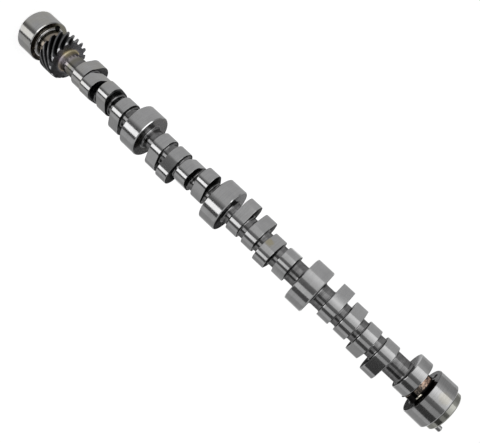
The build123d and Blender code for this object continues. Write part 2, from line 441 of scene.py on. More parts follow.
def ring_mesh(name, rings, gear):
    """A closed mesh through the rings, with what the lobe rule needs kept on its points."""
    teeth = tooth_points(gear)
    around = gear.teeth * POINTS_PER_TOOTH
    toothed = [ring.z for ring in rings if ring.teeth]
    gear_z = (toothed[0] + toothed[-1]) / 2
    half_pitch = FULL_TURN / gear.teeth / 2
    points, kept = [], {key: [] for key in KEPT}
    for ring in rings:
        reached = min(max(ring.z, toothed[0]), toothed[-1])
        offset = gear.tooth_angle + FULL_TURN * (reached - gear_z) / gear.lead
        for k in range(around if ring.size else 1):
            if ring.teeth:
                radius, phase = teeth[k % POINTS_PER_TOOTH]
                size = min(radius, ring.size)
                turn = offset + k // POINTS_PER_TOOTH * 2 * half_pitch + phase
            else:
                size = ring.size
                turn = offset - half_pitch + FULL_TURN * k / around
            x, y = ring.centre
            points.append((x + size * cos(turn), y + size * sin(turn), ring.z))
            for key, value in zip(KEPT, (turn, size, ring.nose, ring.nose_at, ring.set_in)):
                kept[key].append(value)
    faces = skin([ring.size for ring in rings], around)
    finishes = [ring.finish for ring in rings[:-1] for k in range(around)]
    mesh = mesh_with_finishes(name, points, faces, finishes)
    for key, values in kept.items():
        mesh.attributes.new(key, "FLOAT", "POINT").data.foreach_set("value", values)
    return mesh


# ---- node trees


def math_node(operation, turned=False):
    """A method that carries a wire on with a Math node, with the wire last if turned."""

    def carry_on(self, *others):
        return self.math(operation, *((*others, self) if turned else (self, *others)))

    return carry_on


class Wire:
    """A node's output, which Python's operators carry on with Math nodes."""

    __add__, __radd__ = math_node("ADD"), math_node("ADD", True)
    __sub__, __rsub__ = math_node("SUBTRACT"), math_node("SUBTRACT", True)
    __mul__, __rmul__ = math_node("MULTIPLY"), math_node("MULTIPLY", True)
    __truediv__, __rtruediv__ = math_node("DIVIDE"), math_node("DIVIDE", True)
    __gt__, __lt__ = math_node("GREATER_THAN"), math_node("LESS_THAN")
    __pow__, __abs__ = math_node("POWER"), math_node("ABSOLUTE")
    least, most = math_node("MINIMUM"), math_node("MAXIMUM")
    sine, cosine, arccosine = math_node("SINE"), math_node("COSINE"), math_node("ARCCOSINE")
    root, exponential = math_node("SQRT"), math_node("EXPONENT")
    turn_from, wrap = math_node("ARCTAN2"), math_node("WRAP")

    def __init__(self, graph, socket):
        self.graph = graph
        self.socket = socket

    def __neg__(self):
        return self * -1

    def math(self, operation, *values):
        return self.graph.add("ShaderNodeMath", values, operation=operation)

    def ease(self, low, high):
        """0 below low and 1 above high, with a smooth rise between."""
        sockets = {"Value": self, "From Min": low, "From Max": high}
        return self.graph.add("ShaderNodeMapRange", sockets, interpolation_type="SMOOTHSTEP")

    def within(self, low, high, soft):
        """1 between low and high, with edges soft wide."""
        return self.ease(low - soft, low + soft) * (1 - self.ease(high - soft, high + soft))


class Graph:
    """A node tree that is being filled in."""

    def __init__(self, tree):
        self.tree = tree

    def add(self, kind, sockets=(), out=0, stops=(), **settings):
        """Adds one node: its settings first, then the values or links of its sockets."""
        node = self.tree.nodes.new(kind)
        for name, value in settings.items():
            setattr(node, name, value)
        if stops:
            elements = node.color_ramp.elements
            while len(elements) < len(stops):
                elements.new(1)
            for element, (place, rgb) in zip(elements, stops):
                element.position = place
                element.color = (*rgb, 1)
        pairs = sockets.items() if isinstance(sockets, dict) else enumerate(sockets)
        for name, value in pairs:
            if isinstance(value, (Wire, list)):
                for wire in value if isinstance(value, list) else [value]:
                    self.tree.links.new(wire.socket, node.inputs[name])
            else:
                node.inputs[name].default_value = value
        return Wire(self, node.outputs[out]) if node.outputs else None

    def mix(self, share, first, second):
        """Blends two colours. The Mix node keeps its colours in sockets 6 and 7."""
        sockets = {0: share, 6: opaque(first), 7: opaque(second)}
        return self.add("ShaderNodeMix", sockets, out=2, data_type="RGBA")

    def coats(self, colour, *coats):
        """Lays coats over a colour, one after another, each given as its share and its colour."""
        for share, coat in coats:
            colour = self.mix(share, colour, coat)
        return colour

    def tones(self, share, rgb, darkest, lightest):
        """Blends two shades of one colour."""
        return self.mix(share, shade(rgb, darkest), shade(rgb, lightest))

    def vector(self, x, y, z):
        """Puts three values together."""
        return self.add("ShaderNodeCombineXYZ", (x, y, z))


class Surface(Graph):
    """The node tree of a new material."""

    def __init__(self, name):
        self.material = bpy.data.materials.new(name)
        self.material.use_nodes = True
        super().__init__(self.material.node_tree)
        self.tree.nodes.clear()

    def where(self):
        """Where a point of the surface is, in millimetres from the rear face's centre."""
        place = self.add("ShaderNodeTexCoord", out="Object")
        return [self.add("ShaderNodeSeparateXYZ", (place,), out=axis) / MM for axis in range(3)]

    def made_of(self, shader, sockets):
        """Ends the tree in one shader, and gives the material."""
        surface = self.add(shader, sockets)
        self.add("ShaderNodeOutputMaterial", {"Surface": surface})
        return self.material


def opaque(rgb):
    """A colour with its alpha, or a link as it is."""
    return rgb if isinstance(rgb, Wire) else (*rgb[:3], 1)


def shade(rgb, times):
    """A colour made darker or lighter."""
    return tuple(min(1, part * times) for part in rgb)


def geometry_tree(name, **inputs):
    """An empty Geometry Nodes tree with named inputs, and a wire from each of them."""
    tree = bpy.data.node_groups.new(name, "GeometryNodeTree")
    kinds = {"Geometry": "Geometry"} | {label.replace("_", " "): inputs[label] for label in inputs}
    tree.interface.new_socket("Geometry", in_out="OUTPUT", socket_type="NodeSocketGeometry")
    for label, kind in kinds.items():
        tree.interface.new_socket(label, in_out="INPUT", socket_type="NodeSocket" + kind)
    graph = Graph(tree)
    return graph, [graph.add("NodeGroupInput", out=label) for label in kinds]


def kept_value(graph, name, kind="FLOAT"):
    """A number that is kept on the mesh."""
    return graph.add("GeometryNodeInputNamedAttribute", {"Name": name}, data_type=kind)


def close_tree(graph, geometry, finishes):
    """Ends a tree in Realize Instances and a Set Material for each finish."""
    geometry = graph.add("GeometryNodeRealizeInstances", (geometry,))
    marked = kept_value(graph, "finish", "INT")
    for number, material in enumerate(finishes):
        sockets = {2: marked, 3: number}
        chosen = graph.add("FunctionNodeCompare", sockets, data_type="INT", operation="EQUAL")
        geometry = graph.add("GeometryNodeSetMaterial", (geometry, chosen, material))
    graph.add("NodeGroupOutput", (geometry,))
    return graph.tree


def lobe_tree(finishes):
    """Moves each point of a ring with a nose to the lobe's outline: base arc, flank and nose."""
    graph, (geometry, nose_full, flank_full) = geometry_tree(
        "Grind the lobes", Nose_radius="Float", Flank_radius="Float"
    )
    turn, size, nose, nose_at, set_in = (kept_value(graph, key) for key in KEPT)

    away = abs((turn - nose_at).wrap(pi, -pi))
    to_base, to_nose = flank_full - size, flank_full - nose_full
    base_ends = ((to_nose**2 - to_base**2 - nose**2) / (2 * to_base * nose)).arccosine()
    across = to_base * base_ends.sine()
    along = to_base * base_ends.cosine() + nose
    small_nose = nose_full - set_in
    nose_ends = (small_nose * across / to_nose).turn_from(nose + small_nose * along / to_nose)

    flank = flank_full - set_in
    from_base = away - base_ends
    on_flank = (flank**2 - (to_base * from_base.sine()) ** 2).root() - to_base * from_base.cosine()
    on_nose = nose * away.cosine() + (small_nose**2 - (nose * away.sine()) ** 2).root()
    on_base = size - set_in
    past_flank = (away > base_ends).most(nose < NO_NOSE)
    risen = on_nose + (away > nose_ends) * (on_flank - on_nose)
    radius = risen + past_flank * (on_base - risen)

    place = graph.add("GeometryNodeInputPosition")
    height = graph.add("ShaderNodeSeparateXYZ", (place,), out=2)
    lobed = graph.vector(radius * turn.cosine(), radius * turn.sine(), height)
    step = graph.vector(-set_in * turn.cosine(), -set_in * turn.sine(), 0)
    plain = graph.add("ShaderNodeVectorMath", (place, step), operation="ADD")
    sockets = {0: nose > NO_NOSE, 4: plain, 5: lobed}  # 4 and 5 are the Mix node's vectors
    chosen = graph.add("ShaderNodeMix", sockets, out=1, data_type="VECTOR")
    moved = graph.add("GeometryNodeSetPosition", {"Geometry": geometry, "Position": chosen})
    return close_tree(graph, moved, finishes)


def drill_tree(finishes):
    """Cuts the tools out of the shaft: one on every place of the bolt circle, and the dowel's."""
    graph, (geometry, holes, circle_radius, front_face, thread_tool, dowel_tool) = geometry_tree(
        "Drill the front face",
        Tapped_holes="Int",
        Bolt_circle_radius="Float",
        Front_face="Float",
        Thread_tool="Object",
        Dowel_tool="Object",
    )
    sockets = {"Vertices": holes, "Radius": circle_radius}
    circle = graph.add("GeometryNodeMeshCircle", sockets)
    sockets = {
        "Geometry": circle,
        "Translation": graph.vector(0, 0, front_face),
        "Rotation": graph.vector(0, 0, pi / holes),
    }
    placed = graph.add("GeometryNodeTransform", sockets)
    thread, dowel = (
        graph.add("GeometryNodeObjectInfo", {"Object": tool}, out="Geometry")
        for tool in (thread_tool, dowel_tool)
    )
    sockets = {"Points": placed, "Instance": thread}
    threads = graph.add("GeometryNodeInstanceOnPoints", sockets)
    threads = graph.add("GeometryNodeRealizeInstances", (threads,))
    cutters = graph.add("GeometryNodeJoinGeometry", {0: [dowel, threads]})
    sockets = {"Mesh 1": geometry, "Mesh 2": cutters}
    drilled = graph.add(
        "GeometryNodeMeshBoolean", sockets, operation="DIFFERENCE", solver="MANIFOLD"
    )
    return close_tree(graph, drilled, finishes)


def baked(name, mesh, tree, values):
    """Runs a mesh through the tree and keeps the result as a plain mesh."""
    worked = stand(name + ".blank", mesh)
    modifier = worked.modifiers.new("Geometry Nodes", "NODES")
    modifier.node_group = tree
    for item in tree.interface.items_tree:
        if item.in_out == "INPUT" and item.name in values:
            modifier[item.identifier] = values[item.name]
    graph = bpy.context.evaluated_depsgraph_get()
    result = bpy.data.meshes.new_from_object(worked.evaluated_get(graph))
    worked.modifiers.remove(modifier)
    bpy.data.objects.remove(worked)
    result.name = name
    while result.materials and not result.materials[0]:
        result.materials.pop(index=0)
    if not result.polygons:
        raise RuntimeError(f"{name} came out of its nodes empty")
    for key in (*KEPT, "finish"):
        if key in result.attributes:
            result.attributes.remove(result.attributes[key])
    return result


# ---- materials

# Stretches of the shaft that differ in finish or in painted light and shade, in millimetres from
# the rear face.
REAR_JOURNAL_FRONT = (15, 35)
GEAR_ROOTS = (40, 57)
TINT_AND_PAINTED_SHEEN = (50, 60)
HEAT_ENDS = (66, 72)
PLAIN_NECKS = (66, 508)
WARMTH_ENDS = (90, 150)
FOURTH_JOURNAL_FRONT = (167, 179)
LIGHTER_SHOULDERS = (FOURTH_JOURNAL_FRONT, (279, 291), (381, 403), (500, 511))
PAINTED_TOP_LIGHT = (250, 280)
PAINTED_LOW_SHADE_ENDS = (300, 350)
BRIGHTER_LOBES = (400, 440)
PUMP_NECK = (513, 526)
LAST_OF_PUMP_NECK = (515.9, 516.7)
FRONT_JOURNAL_REAR = (519, 521)
SCALE_IN_CORNER = (519.8, 520.8)
PAINTED_TOP_EDGE_LIGHT = (521.3, 521.8)
RUBBED_EDGE_HIGHLIGHT = (521.2, 522)
FRONT_JOURNAL_RIM = (522, 523.45)
FRONT_JOURNAL_FRONT = (530, 531)
HUB_RELIEF = (541, 541.3)
HUB = (541.9, 542.6)

# Spots on the surface, in millimetres from the rear face's centre: two of dried oil and one of
# painted reflection.
DRIED_OIL = (-9.9, -13.8, 339.5)
FAINT_OIL = (-16.9, -16.6, 535)
DARK_REFLECTION_SPOT = (-16.9, 2.2, 20.6)

# Directions round the shaft, in degrees from the dowel, as it lies before the camera.
NEAR_SIDE = -116
UPPER_SIDE = 154
LOWER_SIDE = -25


class Steel(Surface):
    """The node tree of a steel, which knows where each of its points is, in millimetres."""

    def __init__(self, name):
        super().__init__(name)
        self.place = x, y, z = self.where()
        self.z = z
        self.radius = (x * x + y * y).root()

    def noise(self, x, y, z, detail):
        """Even noise from 0 to 1."""
        vector = self.vector(x, y, z)
        sockets = {"Vector": vector, "Scale": 1.0, "Detail": detail, "Roughness": 0.55}
        return self.add("ShaderNodeTexNoise", sockets, noise_dimensions="3D")

    def lines(self, per_mm, seed=0.0, wander=0.02):
        """Fine lines that run round the shaft, as a wheel or a tool leaves them."""
        x, y, z = self.place
        return self.noise(x * wander + seed, y * wander, z * per_mm, 4.0)

    def clouds(self, per_mm, seed=0.0, detail=3.0):
        """Even patches in all directions."""
        x, y, z = self.place
        return self.noise(x * per_mm + seed, y * per_mm, z * per_mm, detail)

    def towards(self, degrees_of_turn):
        """How far a point lies from the axis towards a direction, from -1 to 1."""
        x, y, z = self.place
        turn = radians(degrees_of_turn)
        return (x * cos(turn) + y * sin(turn)) / self.radius.most(0.01)

    def from_spot(self, spot):
        """How far a point is from a spot."""
        x, y, z = (axis - at for axis, at in zip(self.place, spot))
        return (x * x + y * y + z * z).root()

    def painted_dark_reflection(self):
        """1 on a painted reflection: a round dark patch by the gear, in the colour of scale."""
        distance = self.from_spot(DARK_REFLECTION_SPOT) + 0.9 * self.clouds(0.9, 4)
        return 1 - distance.ease(3.9, 4.6)

    def finished(self, base, rough, bump=None, depth=0, glancing=1.0):
        """The metal with this colour, roughness and bump.

        depth is the bump's, in metres, and glancing below 1 darkens what is seen nearly edge-on.
        """
        sockets = {
            "Metallic": 1.0,
            "Specular Tint": (glancing, glancing, glancing, 1),
            "Base Color": base,
            "Roughness": rough,
        }
        if bump:
            height = {"Height": bump, "Strength": 1.0, "Distance": depth}
            sockets["Normal"] = self.add("ShaderNodeBump", height)
        return self.made_of("ShaderNodeBsdfPrincipled", sockets)


def ground_material(look):
    """Cylindrical grinding: bright, with very fine lines and hardly any colour."""
    steel = Steel("ground steel")
    z = steel.z
    tone = steel.lines(2.2) * 0.55 + steel.clouds(0.12, 7) * 0.45
    warmth = steel.clouds(0.06, 3).ease(0.35, 0.7) * (1 - z.ease(*WARMTH_ENDS)) * 0.25
    spot = steel.from_spot(DRIED_OIL) + 5 * steel.clouds(0.35, 20)
    faint_spot = steel.from_spot(FAINT_OIL) + 4 * steel.clouds(0.5, 33)
    near_rim = steel.towards(NEAR_SIDE).ease(0.74, 0.82)
    scaled = near_rim.most(0.6 * steel.towards(150).ease(0.3, 0.6))
    base = steel.coats(
        steel.tones(tone.ease(0.32, 0.68), look.ground, 0.9, 1.06),
        (warmth, shade(look.oil, 1.05)),
        ((1 - spot.ease(5, 9)) * 0.85, look.oil),
        (z.ease(*HUB), look.hub),
        ((1 - faint_spot.ease(5, 9)) * 0.3, look.oil),
        (z.within(*FRONT_JOURNAL_RIM, 0.08) * scaled, look.scale),
    )
    rough = 0.09 + 0.06 * steel.lines(4.0, 3) + 0.03 * steel.clouds(0.2, 9)
    bump = steel.lines(6.0, seed=9.0, wander=0.01)
    return steel.finished(base, rough, bump, depth=0.0015 * MM)


def shoulder_material(look):
    """Faced flats: smooth enough to mirror their neighbours, dark, with scale, painted light and
    shade, and a painted reflection.
    """
    steel = Steel("shoulder steel")
    z, radius = steel.z, steel.radius
    rings = steel.noise(radius * 2.2, radius * 0.1, z * 0.37, 3.0)
    cloud = steel.clouds(0.22, 5)
    tone = (rings * 0.5 + cloud * 0.5).ease(0.3, 0.7)
    above = steel.towards(UPPER_SIDE).ease(0.1, 0.9)
    painted_low_shade = steel.towards(-75).ease(0.86, 0.97) * (1 - z.ease(*PAINTED_LOW_SHADE_ENDS))
    # the faces of the journals and the eccentric: lighter, with painted top light on their upper
    # side and painted shade low on their near side
    faces_painted_lit_and_shaded = steel.coats(
        steel.tones(tone, look.shoulder, 0.95, 1.5),
        (above * z.ease(*PAINTED_TOP_LIGHT), shade(look.shoulder, 2.8)),
        (painted_low_shade, shade(look.shoulder, 0.3)),
    )
    scorched = steel.coats(
        shade(look.scale, 2.2),
        (cloud.ease(0.4, 0.7), shade(look.brown, 0.4)),
        (steel.towards(135).ease(0.5, 0.85) * radius.ease(15, 18), look.old_straw),
        # a painted reflection of something dark, in the colour of scale
        (steel.painted_dark_reflection(), look.scale),
    )
    edge = 15.6 + 2.4 * (steel.clouds(0.33, 2.4, 4.0) - 0.5)
    edge += 9 * steel.towards(NEAR_SIDE).ease(0.74, 0.82)
    edge += 4 * steel.towards(159).ease(0.975, 0.992)
    beyond_scale = radius.ease(edge - 0.25, edge + 0.25).most(z.ease(*FRONT_JOURNAL_FRONT))
    # bare steel beyond the scale, with painted top light on its upper side
    clean = steel.mix(above, shade(look.shoulder, 1.7), look.clean)
    base = steel.coats(
        steel.tones(tone, look.shoulder, 0.12, 0.28),
        (z.ease(*BRIGHTER_LOBES) * 0.5, shade(look.shoulder, 0.8)),
        (sum(z.within(*stretch, 1) for stretch in LIGHTER_SHOULDERS).least(1), faces_painted_lit_and_shaded),
        (cloud.ease(0.35, 0.75) * 0.4 * z.within(*FOURTH_JOURNAL_FRONT, 1), look.brown),
        (z.within(*REAR_JOURNAL_FRONT, 1), scorched),
        (z.ease(*FRONT_JOURNAL_REAR), steel.mix(beyond_scale, look.scale, clean)),
    )
    rough = 0.12 + 0.12 * steel.clouds(0.3, 11)
    bump = steel.noise(radius * 3, 0, z * 0.3, 2.0)
    return steel.finished(base, rough, bump, depth=0.004 * MM, glancing=0.4)


def neck_material(look):
    """Turned with a tool, darker than the ground steel and tinted where it was heated."""
    steel = Steel("turned neck")
    z = steel.z
    cloud = steel.clouds(0.28, 12, 4.0)
    tone = (steel.lines(1.3, seed=5.0) * 0.5 + cloud * 0.5).ease(0.3, 0.7)

    # the heat tints on either side of the gear, at places in tenths of a metre; just ahead of the
    # gear they are lightened as a painted reflection of the lit gear face
    heat_stops = (
        (0.222, look.ground),
        (0.24, shade(look.olive, 1.2)),
        (0.28, shade(look.brown, 1.5)),
        (0.50, shade(look.straw, 1.3)),
        (0.555, shade(look.straw, 1.3)),
        (0.59, shade(look.violet, 2.0)),
        (0.64, look.olive),
        (0.70, look.neck),
    )
    along = {"Fac": (z + 2.2 * (cloud - 0.5)) / 100}
    heat = steel.add("ShaderNodeValToRGB", along, stops=heat_stops)
    # the lower side just ahead of the gear: heat tint, lightened as a painted reflection of the lit
    # gear face, and darker brown towards the bottom
    lowest = steel.towards(-30).ease(0.5, 0.9)
    tint_and_painted_sheen = steel.mix(lowest, shade(look.violet, 2.5), shade(look.brown, 1.3))
    heated = steel.coats(
        shade(look.brown, 0.6),
        (0.5 + 0.5 * tone, heat),
        (steel.towards(-40).ease(-0.1, 0.6) * z.within(*TINT_AND_PAINTED_SHEEN, 2), tint_and_painted_sheen),
    )

    # the neck behind the front journal: coppery, with rims of scale, painted top light on its
    # fillet's edge and a painted highlight where the scale is worn
    under = steel.towards(-60).ease(-0.2, 0.75)
    copper = steel.mix(under, shade(look.copper, 1.7), shade(look.brown, 1.1))
    speckle = (0.6 * steel.clouds(0.7, 40, 4.0) + 0.4 * cloud).ease(0.38, 0.56)
    below, above = steel.towards(LOWER_SIDE), steel.towards(UPPER_SIDE)
    rims = (1 - below.ease(0.58, 0.68)).most(z.ease(*LAST_OF_PUMP_NECK))
    rims = below.ease(0.3, 0.45) * rims
    notch = steel.towards(160).ease(0.96, 0.98)
    pump_neck = steel.coats(
        shade(look.scale, 6),
        (speckle, copper),
        (z.ease(*SCALE_IN_CORNER).most(rims).most(above.ease(0.82, 0.92)), look.scale),
        # painted top light on the upper side of the fillet's outer edge
        (z.ease(*PAINTED_TOP_EDGE_LIGHT) * above.ease(0.86, 0.97) * (1 - notch), look.clean),
        # a painted highlight: bare steel where the scale is worn through, placed where the strip
        # light's highlight falls
        (z.within(*RUBBED_EDGE_HIGHLIGHT, 0.2) * steel.towards(-92).ease(0.965, 0.985), look.rubbed),
    )

    # the rounded roots by the lobes: a painted highlight on the upper near side and painted shade
    # elsewhere
    painted_highlight_side = steel.towards(-130).ease(0.75, 0.95)
    root = steel.mix(painted_highlight_side, shade(look.neck, 0.5), look.ground)
    is_root = steel.radius.ease(11.7, 12.5) * z.within(*PLAIN_NECKS, 2)
    base = steel.coats(
        steel.tones(tone, look.neck, 0.62, 1.25),
        (1 - z.ease(*HEAT_ENDS), heated),
        (is_root * 0.7, root),
        # a painted reflection of something dark, in the colour of scale
        (steel.painted_dark_reflection(), look.scale),
        # painted shade in the wheel relief
        (z.ease(*HUB_RELIEF), shade(look.neck, 0.3)),
        (z.within(*PUMP_NECK, 1), pump_neck),
    )
    dull = 0.3 * z.within(*GEAR_ROOTS, 2.5)
    rough = 0.09 + dull + 0.09 * steel.lines(2.0, 4) + 0.04 * steel.clouds(0.4)
    bump = steel.lines(2.4, seed=1.0, wander=0.05)
    return steel.finished(base, rough, bump, depth=0.006 * MM, glancing=0.5)


def gear_material(look, gear, middle):
    """Hobbed and hardened: nearly black flanks under worn, brighter lands."""
    steel = Steel("gear steel")
    z, lower = steel.z, steel.towards(-40)
    front = (middle + gear.width / 2) / MM
    low = (middle - gear.width / 2 + gear.end_length) / MM
    high = (middle + gear.width / 2 - gear.end_length) / MM
    into_end = (low - z).most(z - high).most(0)
    tip = (gear.pitch_radius + gear.addendum) / MM - into_end * (gear.end_drop / gear.end_length)
    grain = steel.clouds(0.9, 2, 4.0)
    # the turned-down ends of the teeth: lighter towards the lower side, a painted highlight
    facets = steel.tones(lower.ease(0.2, 0.8), look.land, 2.3, 4)
    lands = steel.mix(into_end.ease(0.05, 0.3), steel.tones(grain, look.land, 0.5, 1.2), facets)

    radius = steel.radius + 0.8 * (steel.clouds(0.35, 14) - 0.5)
    faced = steel.coats(
        shade(look.straw, 0.55),
        (steel.towards(165).ease(0.2, 0.7), look.violet),
        (lower.ease(0.0, 0.6), shade(look.violet, 0.7)),
        (radius.ease(13.2, 15.4), steel.tones(grain.ease(0.25, 0.75), look.gear, 1.2, 5)),
        # painted shade on the lower part of the face
        (lower.ease(0.4, 0.9) * radius.ease(13.5, 16.5) * 0.8, shade(look.gear, 0.5)),
    )
    base = steel.coats(
        steel.tones(grain, look.gear, 0.4, 1.6),
        (steel.radius.ease(tip - 0.5, tip - 0.12), lands),
        (z.ease(front - 0.1, front - 0.02), faced),
    )
    rough = 0.3 + 0.14 * steel.clouds(1.2, 8)
    bump = steel.clouds(2.2, 4, 4.0)
    return steel.finished(base, rough, bump, depth=0.02 * MM)


def face_material(look):
    """Faced off in the lathe, with fine rings."""
    steel = Steel("machined face")
    tone = steel.noise(steel.radius * 3, 0, 0, 3.0) * 0.6 + steel.clouds(0.15, 2) * 0.4
    rough = 0.2 + 0.1 * steel.clouds(0.2, 6)
    bump = steel.noise(steel.radius * 4, 0, 0, 2.0)
    return steel.finished(steel.tones(tone, look.face, 0.8, 1.12), rough, bump, depth=0.008 * MM)


def pin_material(look):
    """Centreless-ground pin steel."""
    steel = Steel("pin steel")
    tone = steel.lines(3.0, 2) * 0.6 + steel.clouds(0.5) * 0.4
    rough = 0.14 + 0.08 * steel.lines(5.0)
    return steel.finished(steel.tones(tone, look.ground, 0.7, 1.05), rough)


# ---- operators


CREASE = radians(32)
DRILL_POINT = radians(59)  # half the angle of a drill's point
TOOL_SIDES = 32
DOWEL_SIDES = 64


def turned_mesh(name, outline, around, ridge=None):
    """A closed mesh turned round Z through (z, radius) pairs, with its poles at both ends.

    ridge gives what a thread adds to the radius at a place and an angle.
    """
    points = []
    for z, radius in outline:
        for k in range(around if radius else 1):
            turn = FULL_TURN * k / around
            size = radius + (ridge(z, turn) if ridge and radius else 0)
            points.append((size * cos(turn), size * sin(turn), z))
    faces = skin([radius for z, radius in outline], around)
    return mesh_with_finishes(name, points, faces, [FACE] * len(faces))


def thread_tool(front):
    """The shape that a tap leaves: a drilled hole with a thread and a countersink."""
    radius, pitch, depth = front.tapping_radius, front.thread_pitch, front.tapped_depth
    rows_per_pitch = 8
    step = pitch / rows_per_pitch
    flank = 1.25  # a thread's ridge takes up 1 / flank of its pitch

    def ridge(z, turn):
        along = (z / pitch - turn / FULL_TURN) % 1
        starts = max(0, min(1, (z + depth) / pitch))
        thread = front.thread_depth * max(0, 1 - abs(2 * along - 1) * flank) * starts
        return max(thread, front.countersink + z) if z > -front.countersink else thread

    outline = [(-depth - radius / tan(DRILL_POINT), 0)]
    outline += [(-depth + row * step, radius) for row in range(int(depth / step))]
    outline += [(0, radius), (MM, radius), (MM, 0)]
    return turned_mesh("thread tool", outline, TOOL_SIDES, ridge)


def dowel_tool(front):
    """The dowel's hole, with a slight clearance and countersink."""
    radius, seat = front.dowel_radius + 0.02 * MM, front.dowel_seat
    sink = 0.35 * MM
    outline = [(-seat - 0.5 * MM, 0), (-seat, radius), (-sink, radius)]
    outline += [(MM, radius + sink + MM), (MM, 0)]
    return turned_mesh("dowel tool", outline, DOWEL_SIDES)


def dress(name, mesh, node):
    """Shows a finished mesh in place of a node of the solids."""
    piece = stand(name, mesh)
    mesh.shade_smooth()
    mesh.set_sharp_from_angle(angle=CREASE)
    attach(piece, "root")
    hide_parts(node)


class CAMSHAFT_OT_shaft(bpy.types.Operator):
    """Builds the one-piece shaft from its rings, grinds its lobes and drills its front face"""

    bl_idname = "camshaft.shaft"
    bl_label = "Ground shaft"

    def execute(self, context):
        scene = context.scene
        shaft, lobe, gear = scene.camshaft_shaft, scene.camshaft_lobes, scene.camshaft_gear
        look, front = scene.camshaft_colours, scene.camshaft_front
        gear_middle = shaft.rear_reach + shaft.rear_width / 2 - gear.reach
        finishes = [
            ground_material(look),
            shoulder_material(look),
            neck_material(look),
            gear_material(look, gear, gear_middle),
            face_material(look),
        ]
        rings, front_z = shaft_rings(shaft, lobe, gear)
        blank = ring_mesh("camshaft.blank", rings, gear)
        values = {"Nose radius": lobe.nose_radius, "Flank radius": lobe.flank_radius}
        ground = baked("camshaft.ground", blank, lobe_tree(finishes), values)
        # the slots of the result may stand in another order than the finishes
        slots = [finishes.index(material) for material in ground.materials]
        numbers = [slots[face.material_index] for face in ground.polygons]
        ground.attributes.new("finish", "INT", "FACE").data.foreach_set("value", numbers)

        thread, dowel = tools = [
            stand(mesh.name, mesh) for mesh in (thread_tool(front), dowel_tool(front))
        ]
        dowel.data.transform(Matrix.Translation((front.dowel_circle, 0, front_z)))
        values = {
            "Tapped holes": front.bolts,
            "Bolt circle radius": front.bolt_circle,
            "Front face": front_z,
            "Thread tool": thread,
            "Dowel tool": dowel,
        }
        drilled = baked("camshaft.drilled", ground, drill_tree(finishes), values)
        for tool in tools:
            bpy.data.objects.remove(tool)
        dress("ground_camshaft", drilled, "camshaft")
        return {"FINISHED"}


class CAMSHAFT_OT_dowel(bpy.types.Operator):
    """Builds the timing dowel, which is pressed into the front face"""

    bl_idname = "camshaft.dowel"
    bl_label = "Timing dowel"

    def execute(self, context):
        front = context.scene.camshaft_front
        low, high = (corner.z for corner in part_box("timing_dowel_pin"))
        chamfer, radius = front.dowel_chamfer, front.dowel_radius
        outline = [
            (low, 0),
            (low, radius - chamfer),
            (low + chamfer, radius),
            (high - chamfer, radius),
            (high - chamfer * 0.35, radius - chamfer * 0.45),
            (high, radius - chamfer),
            (high, 0),
        ]
        mesh = turned_mesh("timing_dowel", outline, DOWEL_SIDES)
        mesh.transform(Matrix.Translation((front.dowel_circle, 0, 0)))
        mesh.materials.append(pin_material(context.scene.camshaft_colours))
        dress("timing_dowel", mesh, "timing_dowel_pin")
        return {"FINISHED"}


# Cards of light and shade that stand round the shaft and are seen only in its reflections. A row
# is a height in metres and where the card starts and ends there, in degrees from the camera's
# side. The rules that follow give a card's strength from that bearing and that height.
LOW, HIGH = -5.5, 3.2
WINDOW = (-56, -4)
# height, the edges of the strip light and the far edge of the dark card beside it
LOW_ROWS = (
    (LOW, 25, 56, 68),
    (-2.4, 25, 55, 67),
    (-1.3, 24.5, 50.5, 66),
    (-0.5, 23, 48, 68),
    (0.3, 22.5, 46, 70),
    (1.3, 19.5, 44, 78),
    (2.6, 19, 43, 80),
)
STRIP_ROWS = [row[:3] for row in LOW_ROWS]
BESIDE_STRIP_ROWS = [(row[0], *row[2:]) for row in LOW_ROWS]
GAP_ROWS = (
    (LOW, -8, 25),
    (-1.3, -8, 24.5),
    (-0.6, -8, 23),
    (-0.5, WINDOW[1], 23),
    (0.3, WINDOW[1], 22.5),
    (1.3, WINDOW[1], 19.5),
    (HIGH, WINDOW[1], 19),
)


def strip_light(bearing, z):
    falling = (-(z + 0.45) / 0.6).least(0).exponential()
    ends = (0.68 + 0.32 * z.ease(-2.6, -1.5)) * (1 - 0.3 * z.ease(1.35, 1.6))
    return (0.28 + 1.22 * falling) * ends


def beside_strip(bearing, z):
    return 0.09 - 0.04 * z.ease(0, 1.2)


def window_light(bearing, z):
    return (0.45 + 0.6 * z.ease(-0.6, 1.0)) * (1 - 0.36 * bearing.ease(-46, -8) * z.ease(-0.3, 0.5))


def dark_gap(bearing, z):
    return 0.13 + (0.32 - 0.26 * z.ease(-1.0, 0.3)) * (1 - bearing.ease(-8, 16))


def shade_above(bearing, z):
    return 0.45 - (0.19 - 0.16 * bearing.ease(-88, -64)) * z.ease(0.85, 1.35)


def paper_light(bearing, z):
    return 0.42 + 0.36 * bearing.ease(150, 160) * (1 - bearing.ease(196, 206))


def dark_behind(bearing, z):
    return 0.07 + 0.26 * bearing.ease(178.6, 181.2)


# name, distance as a share of the studio's, strength and rows
CARDS = (
    ("low strip light", 1, strip_light, STRIP_ROWS),
    ("dark card beside it", 1, beside_strip, BESIDE_STRIP_ROWS),
    ("tall window", 1, window_light, ((-0.6, *WINDOW), (HIGH, *WINDOW))),
    ("dark gap by the camera", 1, dark_gap, GAP_ROWS),
    ("shade above", 1, shade_above, ((0.8, -125, WINDOW[0]), (HIGH, -125, WINDOW[0]))),
    ("overhead light", 1, 1.9, ((3.3, -80, 6), (7.5, -80, 6))),
    ("grey card", 1, 0.34, ((LOW, 98, 142), (HIGH, 98, 142))),
    ("bright paper behind", 1, paper_light, ((LOW, 148, 208), (HIGH, 148, 208))),
    ("dark card behind", 0.95, dark_behind, ((LOW, 175, 185), (HIGH, 175, 185))),
)


